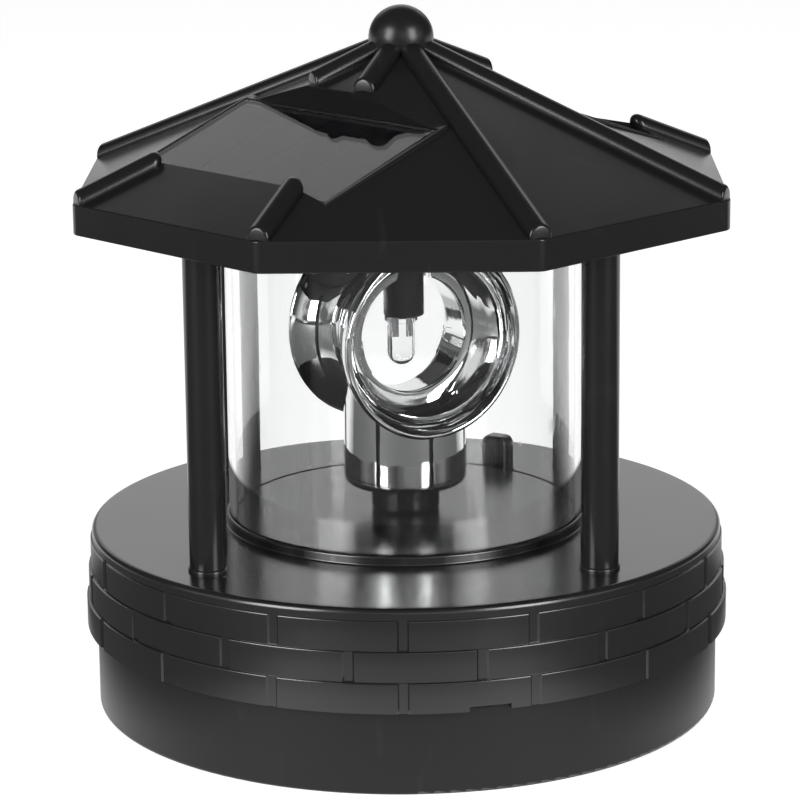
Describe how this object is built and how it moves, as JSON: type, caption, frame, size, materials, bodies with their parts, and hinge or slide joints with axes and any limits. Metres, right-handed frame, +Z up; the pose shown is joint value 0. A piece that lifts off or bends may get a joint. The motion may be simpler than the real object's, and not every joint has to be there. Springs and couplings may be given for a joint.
{
  "type": "garden lighthouse lantern",
  "caption": "Solar lantern unit of a garden lighthouse: octagonal roof on posts over a clear cylinder, where a bright reflector turns round a hanging lamp, on a round brick-banded base.",
  "frame": {"origin": "centre of the base's underside", "axes": "+Z up along the reflector's axis, -Y towards the front with the prising notch, +X to the right seen from the front"},
  "size_m": [0.115, 0.115, 0.1246],
  "materials": {
    "black_plastic": "moulded black plastic, satin to gloss, faint scratches",
    "spindle_plastic": "moulded black plastic, gloss",
    "button_plastic": "moulded black plastic, gloss",
    "lamp_holder_plastic": "moulded black plastic, satin",
    "clear_plastic": "clear moulded plastic",
    "lamp_epoxy": "clear cast epoxy",
    "bright_reflector": "bright metallised plastic",
    "panel_resin": "clear cast resin, glossy",
    "panel_board": "dark laminate",
    "solar_cell": "dark silicon with fine bright lines",
    "steel_screws": "zinc plated",
    "bush_brass": "turned",
    "gear_nylon": "natural nylon",
    "bright_steel": "bright",
    "motor_steel": "drawn can",
    "motor_cap_plastic": "moulded",
    "gear_plate_plastic": "moulded",
    "circuit_board": "solder resist",
    "board_parts": "moulded",
    "battery_sleeve": "plain shrink sleeve",
    "wire_red": "soft insulation",
    "wire_grey": "soft insulation"
  },
  "bodies": {
    "housing": {"back_panel_board": "panel_board", "back_panel_cells": "solar_cell", "back_panel_resin": "panel_resin", "back_panel_wires": "wire_red", "base_cup": "black_plastic", "battery_cell": "battery_sleeve", "battery_contact_minus": "bright_steel", "battery_contact_plus": "bright_steel", "battery_wires": "wire_red", "board_parts": "board_parts", "board_screws": "steel_screws", "case_screws": "steel_screws", "ceiling_plate": "black_plastic", "circuit_board": "circuit_board", "clear_cylinder": "clear_plastic", "deck_housing": "black_plastic", "front_panel_board": "panel_board", "front_panel_cells": "solar_cell", "front_panel_resin": "panel_resin", "front_panel_wires": "wire_red", "gear_plate": "gear_plate_plastic", "idler_arbor": "bright_steel", "led_holder": "lamp_holder_plastic", "led_legs": "bright_steel", "led_lens": "lamp_epoxy", "led_wires": "wire_grey", "motor_can": "motor_steel", "motor_cap": "motor_cap_plastic", "motor_screws": "steel_screws", "motor_wires": "wire_grey", "plate_screws": "steel_screws", "post_back_left": "black_plastic", "post_back_right": "black_plastic", "post_front_left": "black_plastic", "post_front_right": "black_plastic", "post_screws": "steel_screws", "roof_screws": "steel_screws", "roof_shell": "black_plastic", "spindle_bush": "bush_brass", "switch_case": "motor_cap_plastic", "switch_wires": "wire_grey"},
    "reflector_unit": {"reflector": "bright_reflector", "spindle": "spindle_plastic", "output_gear": "gear_nylon"},
    "idler": {"idler_gear": "gear_nylon"},
    "motor_rotor": {"motor_pinion": "gear_nylon", "motor_shaft": "bright_steel"},
    "button": {"switch_button": "button_plastic"},
    "battery_door": {"battery_cover": "black_plastic", "battery_cover_screw": "steel_screws"}
  },
  "joints": [
    {"name": "reflector_spin", "type": "hinge", "parent": "housing", "child": "reflector_unit", "pos_m": [0, 0, 0], "axis": [0, 0, 1], "continuous": true},
    {"name": "idler_spin", "type": "hinge", "parent": "housing", "child": "idler", "pos_m": [-0.01299, 0.0075, 0], "axis": [0, 0, 1], "continuous": true},
    {"name": "motor_spin", "type": "hinge", "parent": "housing", "child": "motor_rotor", "pos_m": [-0.02382, 0.01375, 0], "axis": [0, 0, 1], "continuous": true},
    {"name": "switch_press", "type": "slide", "parent": "housing", "child": "button", "axis": [0, 0, -1], "range_m": [0, 0.0016], "stiffness_N_per_m": 400},
    {"name": "battery_door_out", "type": "slide", "parent": "housing", "child": "battery_door", "axis": [0, 0, -1], "range_m": [0, 0.012]}
  ],
  "couplings": [
    {"joint": "idler_spin", "follows": "reflector_spin", "ratio": -4},
    {"joint": "motor_spin", "follows": "reflector_spin", "ratio": 16}
  ]
}
